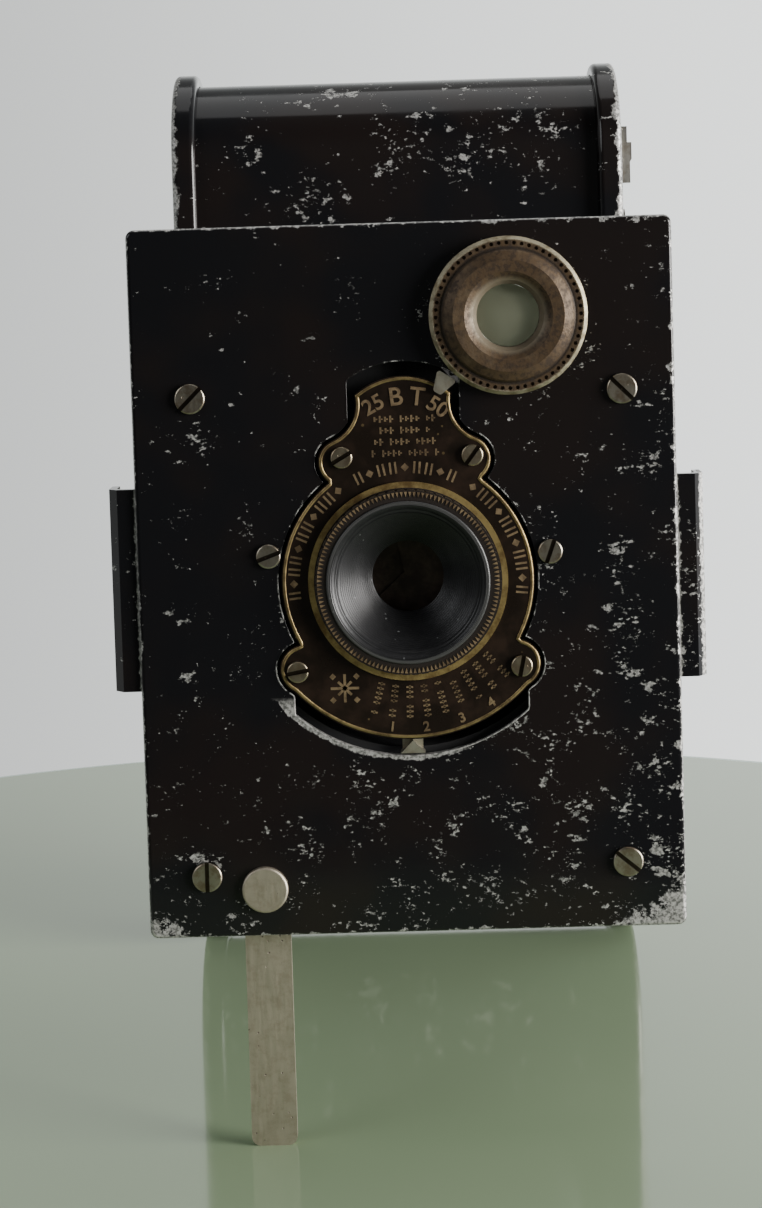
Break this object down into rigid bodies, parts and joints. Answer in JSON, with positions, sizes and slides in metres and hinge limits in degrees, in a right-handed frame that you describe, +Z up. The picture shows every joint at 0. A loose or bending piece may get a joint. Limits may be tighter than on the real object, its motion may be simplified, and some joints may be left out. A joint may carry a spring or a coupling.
{
  "type": "folding strut camera",
  "caption": "Folding roll-film camera on lazy tongs, pulled out and standing on its foot, with a leaf shutter, turning reflecting finder and round-ended body.",
  "frame": {"origin": "on the resting surface, under the middle of the overall width and depth", "axes": "+Z up along the long body, the lens looks along -Y, +X is to the right seen from the front"},
  "size_m": [0.0638, 0.0957, 0.1206],
  "materials": {
    "black_enamel": "gloss black stove enamel with chips and worn edges",
    "inner_black": "matt black inner paint",
    "bellows_leather": "thin pleated black leather",
    "nickel": "worn nickel plate with dark pits",
    "tong_steel": "nickelled steel strip",
    "etched_brass": "brown-black lacquer with etched brass lines",
    "gilt_ring": "aged brass with dark knurls",
    "hood_black": "satin black turned brass",
    "bronze": "brown aged brass",
    "blade_steel": "blued and browned steel leaf",
    "lens_glass": "clear polished glass",
    "finder_mirror": "silvered glass",
    "red_film_window": "deep red celluloid",
    "window_rim": "blackened brass eyelet",
    "spool_metal": "black spool with tinned ends",
    "pressure_metal": "plain spring steel",
    "roller_steel": "polished roller"
  },
  "bodies": {
    "body_case": {"body_tube": "black_enamel", "left_side_cap": "black_enamel", "camera_box": "inner_black", "film_gate": "inner_black", "pressure_plate": "pressure_metal", "red_window_rim": "window_rim", "red_window": "red_film_window", "body_tong_brackets": "tong_steel", "bellows": "bellows_leather", "bellows_rear_frame": "inner_black", "spool_pins": "nickel", "body_link_pivots": "tong_steel"},
    "side_cover": {"side_cover": "black_enamel", "catch_guides": "nickel"},
    "cover_catch": {"cover_catch": "nickel"},
    "winding_key": {"winding_key": "nickel", "key_spindle": "nickel"},
    "take_up_spool": {"take_up_spool": "spool_metal"},
    "supply_spool": {"supply_spool": "spool_metal"},
    "upper_guide_roller": {"upper_guide_roller": "roller_steel"},
    "lower_guide_roller": {"lower_guide_roller": "roller_steel"},
    "rear_rising_links": {"rear_outer_links": "tong_steel", "rear_outer_rivets": "tong_steel"},
    "rear_falling_links": {"rear_inner_links": "tong_steel", "rear_inner_pins": "tong_steel"},
    "front_falling_links": {"front_inner_links": "tong_steel", "front_inner_rivets": "tong_steel"},
    "front_rising_links": {"front_outer_links": "tong_steel", "front_outer_pins": "tong_steel"},
    "front_board": {"front_plate": "black_enamel", "front_standard": "inner_black", "front_tong_brackets": "tong_steel", "plate_screws": "nickel", "front_link_pivots": "tong_steel", "shutter_housing": "inner_black", "faceplate": "etched_brass", "faceplate_screws": "nickel", "lens_hood": "hood_black", "knurled_ring": "gilt_ring", "lens_cell": "inner_black", "front_lens": "lens_glass", "rear_lens": "lens_glass", "lens_retaining_ring": "inner_black", "bellows_front_frame": "inner_black", "release_spring": "blade_steel", "foot_rivet": "nickel", "blade_plate": "inner_black"},
    "foot": {"foot": "nickel"},
    "speed_lever": {"speed_lever": "nickel"},
    "aperture_lever": {"aperture_lever": "nickel"},
    "stop_wheel": {"stop_wheel": "blade_steel"},
    "release_lever": {"release_lever": "blade_steel"},
    "shutter_blade_1": {"shutter_blade_1": "blade_steel"},
    "shutter_blade_2": {"shutter_blade_2": "blade_steel"},
    "shutter_blade_3": {"shutter_blade_3": "blade_steel"},
    "finder": {"finder_bezel": "bronze", "finder_housing": "inner_black", "finder_objective": "lens_glass", "finder_mirror": "finder_mirror", "finder_view_lens": "lens_glass"}
  },
  "joints": [
    {"name": "tongs_fold", "type": "hinge", "parent": "body_case", "child": "rear_rising_links", "pos_m": [0, 0.03214, 0.037], "axis": [-1, 0, 0], "range_deg": [0, 42.8], "deforming": ["bellows"]},
    {"name": "tongs_knee", "type": "hinge", "parent": "rear_rising_links", "child": "front_falling_links", "pos_m": [0, -0.00353, 0.06912], "axis": [-1, 0, 0], "range_deg": [-85.6, 0]},
    {"name": "board_level", "type": "hinge", "parent": "front_falling_links", "child": "front_board", "pos_m": [0, -0.0392, 0.037], "axis": [-1, 0, 0], "range_deg": [0, 42.8]},
    {"name": "rear_cross", "type": "hinge", "parent": "rear_rising_links", "child": "rear_falling_links", "pos_m": [0, 0.01431, 0.05306], "axis": [-1, 0, 0], "range_deg": [-85.6, 0]},
    {"name": "front_cross", "type": "hinge", "parent": "front_falling_links", "child": "front_rising_links", "pos_m": [0, -0.02136, 0.05306], "axis": [-1, 0, 0], "range_deg": [0, 85.6]},
    {"name": "foot_swing", "type": "hinge", "parent": "front_board", "child": "foot", "pos_m": [-0.0161, -0.0442, 0.0285], "axis": [0, -1, 0], "range_deg": [0, 90]},
    {"name": "finder_turn", "type": "hinge", "parent": "front_board", "child": "finder", "pos_m": [0.0112, -0.0442, 0.0886], "axis": [0, -1, 0], "range_deg": [0, 90]},
    {"name": "speed_set", "type": "hinge", "parent": "front_board", "child": "speed_lever", "pos_m": [0, -0.0442, 0.075], "axis": [0, -1, 0], "range_deg": [0, 62]},
    {"name": "aperture_set", "type": "hinge", "parent": "front_board", "child": "aperture_lever", "pos_m": [0, -0.0442, 0.061], "axis": [0, -1, 0], "range_deg": [-7.7, 32.6]},
    {"name": "stop_turn", "type": "hinge", "parent": "front_board", "child": "stop_wheel", "pos_m": [0, -0.0386, 0.054], "axis": [0, -1, 0], "range_deg": [-28.5, 120.7]},
    {"name": "release_press", "type": "hinge", "parent": "front_board", "child": "release_lever", "pos_m": [-0.0115, -0.043, 0.0725], "axis": [0, -1, 0], "range_deg": [0, 8], "stiffness_Nm_per_rad": 0.01, "springref_deg": -2.86},
    {"name": "blade_1_swing", "type": "hinge", "parent": "front_board", "child": "shutter_blade_1", "pos_m": [0, -0.0398, 0.0709], "axis": [0, -1, 0], "range_deg": [0, 34]},
    {"name": "blade_2_swing", "type": "hinge", "parent": "front_board", "child": "shutter_blade_2", "pos_m": [0.00857, -0.0398, 0.05605], "axis": [0, -1, 0], "range_deg": [0, 34]},
    {"name": "blade_3_swing", "type": "hinge", "parent": "front_board", "child": "shutter_blade_3", "pos_m": [-0.00857, -0.0398, 0.05605], "axis": [0, -1, 0], "range_deg": [0, 34]},
    {"name": "cover_pull", "type": "slide", "parent": "body_case", "child": "side_cover", "axis": [1, 0, 0], "range_m": [0, 0.03]},
    {"name": "catch_slide", "type": "slide", "parent": "side_cover", "child": "cover_catch", "axis": [0, 0, 1], "range_m": [0, 0.004]},
    {"name": "key_turn", "type": "hinge", "parent": "side_cover", "child": "winding_key", "pos_m": [0.03015, 0.0353, 0.1079], "axis": [1, 0, 0], "continuous": true},
    {"name": "take_up_turn", "type": "hinge", "parent": "body_case", "child": "take_up_spool", "pos_m": [0, 0.0353, 0.1079], "axis": [1, 0, 0], "continuous": true},
    {"name": "supply_turn", "type": "hinge", "parent": "body_case", "child": "supply_spool", "pos_m": [0, 0.0353, 0.0127], "axis": [1, 0, 0], "continuous": true},
    {"name": "upper_roller_turn", "type": "hinge", "parent": "body_case", "child": "upper_guide_roller", "pos_m": [0, 0.0403, 0.0993], "axis": [1, 0, 0], "continuous": true},
    {"name": "lower_roller_turn", "type": "hinge", "parent": "body_case", "child": "lower_guide_roller", "pos_m": [0, 0.0403, 0.0227], "axis": [1, 0, 0], "continuous": true}
  ],
  "couplings": [
    {"joint": "tongs_knee", "follows": "tongs_fold", "ratio": -2},
    {"joint": "board_level", "follows": "tongs_fold", "ratio": 1},
    {"joint": "rear_cross", "follows": "tongs_fold", "ratio": -2},
    {"joint": "front_cross", "follows": "tongs_fold", "ratio": 2},
    {"joint": "stop_turn", "follows": "aperture_set", "ratio": 3.7},
    {"joint": "blade_1_swing", "follows": "release_press", "ratio": 4.25},
    {"joint": "blade_2_swing", "follows": "release_press", "ratio": 4.25},
    {"joint": "blade_3_swing", "follows": "release_press", "ratio": 4.25},
    {"joint": "take_up_turn", "follows": "key_turn", "ratio": 1}
  ]
}
